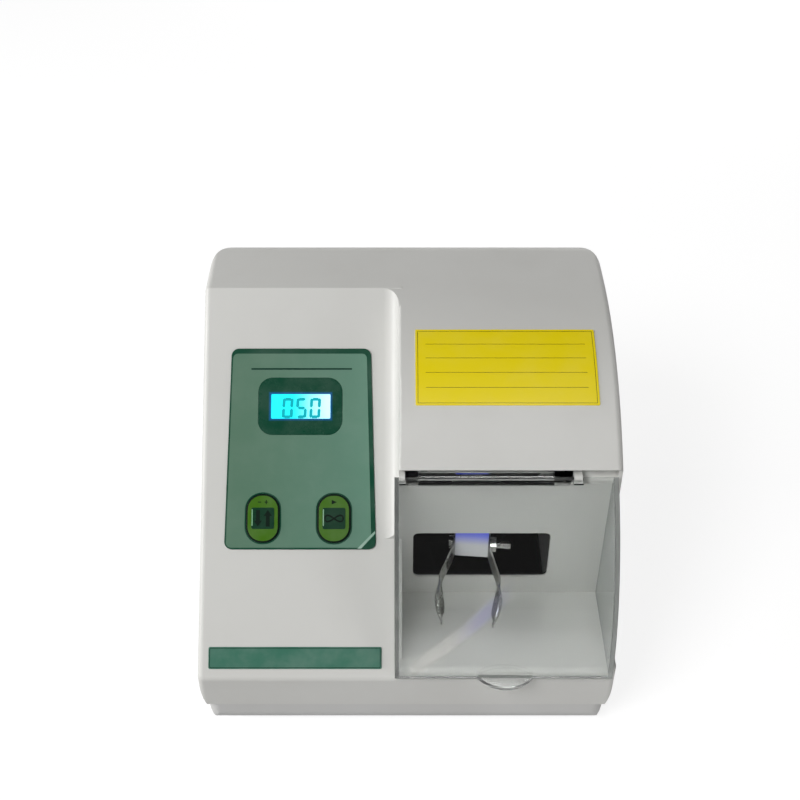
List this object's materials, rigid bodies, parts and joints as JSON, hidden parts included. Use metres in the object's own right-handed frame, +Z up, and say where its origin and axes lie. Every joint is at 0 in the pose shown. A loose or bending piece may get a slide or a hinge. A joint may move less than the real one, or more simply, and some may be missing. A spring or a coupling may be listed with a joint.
{
  "type": "dental amalgamator",
  "caption": "Bench-top capsule mixer: wedge housing with keypad and display, clear hinged cover over a sprung clip driven by a tilted crank.",
  "frame": {"origin": "middle of the footprint, on the surface the feet stand on", "axes": "+Z up, front faces -Y, +X to the right seen from the front"},
  "size_m": [0.21, 0.2102, 0.1775],
  "materials": {
    "housing": "moulded satin-gloss off-white",
    "pan": "moulded, fine texture",
    "clear": "clear acrylic, polished",
    "film": "printed film",
    "bezel": "printed film, dark",
    "lens": "clear film",
    "display": "backlit",
    "key": "printed dome",
    "label": "self-adhesive film",
    "strip": "self-adhesive film",
    "board": "solder mask",
    "black_plastic": "moulded",
    "white_plastic": "moulded",
    "steel": "machined",
    "plated": "bright plated",
    "zinc": "zinc plated",
    "core": "laminated steel and wire",
    "aluminium": "machined",
    "brass": "plated contact",
    "rubber": "matt"
  },
  "bodies": {
    "housing": {"upper_shell": "housing", "base_pan": "pan", "rubber_feet": "rubber", "foot_screws": "zinc", "case_screws": "zinc", "hinge_pin": "plated", "keypad_film": "film", "display_bezel": "bezel", "display_lens": "lens", "display_module": "display", "control_board": "board", "key_switches": "black_plastic", "board_parts": "black_plastic", "board_screws": "zinc", "trim_strip": "strip", "hood_label": "label", "power_inlet": "black_plastic", "inlet_pins": "brass", "fuse_drawer": "black_plastic", "inlet_screws": "plated", "rocker_frame": "black_plastic", "power_board": "board", "power_parts": "black_plastic", "transformer": "core", "suspension_springs": "steel", "bump_stops": "rubber"},
    "cover": {"clear_cover": "clear"},
    "set_key": {"set_key": "key"},
    "start_key": {"start_key": "key"},
    "rocker": {"power_rocker": "black_plastic"},
    "motor_platform": {"motor_plate": "zinc", "motor_can": "zinc", "drive_end_bell": "aluminium", "brush_end_bell": "aluminium", "brush_caps": "black_plastic", "motor_bearings": "steel", "field_magnets": "core", "motor_clamps": "aluminium", "clamp_screws": "plated", "steady_spring": "steel"},
    "rotor": {"rotor_shaft": "steel", "armature": "core", "cooling_fan": "black_plastic", "crank_hub": "steel", "hub_screws": "plated"},
    "wobble_arm": {"wobble_bearings": "steel", "wobble_sleeve": "aluminium", "clip_block": "white_plastic", "left_prong": "plated", "right_prong": "plated", "clip_bolt": "plated", "clip_nut": "plated"}
  },
  "joints": [
    {"name": "cover_hinge", "type": "hinge", "parent": "housing", "child": "cover", "pos_m": [0, -0.04454, 0.13195], "axis": [-1, 0, 0], "range_deg": [0, 85]},
    {"name": "set_key_press", "type": "slide", "parent": "housing", "child": "set_key", "axis": [0, 0.6828, -0.7306], "range_m": [0, 0.0005], "stiffness_N_per_m": 400, "springref_m": -0.0004},
    {"name": "start_key_press", "type": "slide", "parent": "housing", "child": "start_key", "axis": [0, 0.6828, -0.7306], "range_m": [0, 0.0005], "stiffness_N_per_m": 400, "springref_m": -0.0004},
    {"name": "rocker_tilt", "type": "hinge", "parent": "housing", "child": "rocker", "pos_m": [-0.008, 0.0999, 0.052], "axis": [0, 0, 1], "range_deg": [0, 16]},
    {"name": "motor_float", "type": "slide", "parent": "housing", "child": "motor_platform", "axis": [0, 0, 1], "range_m": [-0.003, 0.003], "stiffness_N_per_m": 8000, "springref_m": 0.00141, "deforming": ["suspension_springs"]},
    {"name": "rotor_spin", "type": "hinge", "parent": "motor_platform", "child": "rotor", "pos_m": [0.0383, 0.0105, 0.0765], "axis": [1, 0, 0], "continuous": true},
    {"name": "arm_wobble", "type": "hinge", "parent": "rotor", "child": "wobble_arm", "pos_m": [0.0383, 0.0105, 0.0765], "axis": [0.9962, -0.0872, 0], "continuous": true, "deforming": ["steady_spring"]}
  ],
  "couplings": [
    {"joint": "arm_wobble", "follows": "rotor_spin", "ratio": -1}
  ]
}
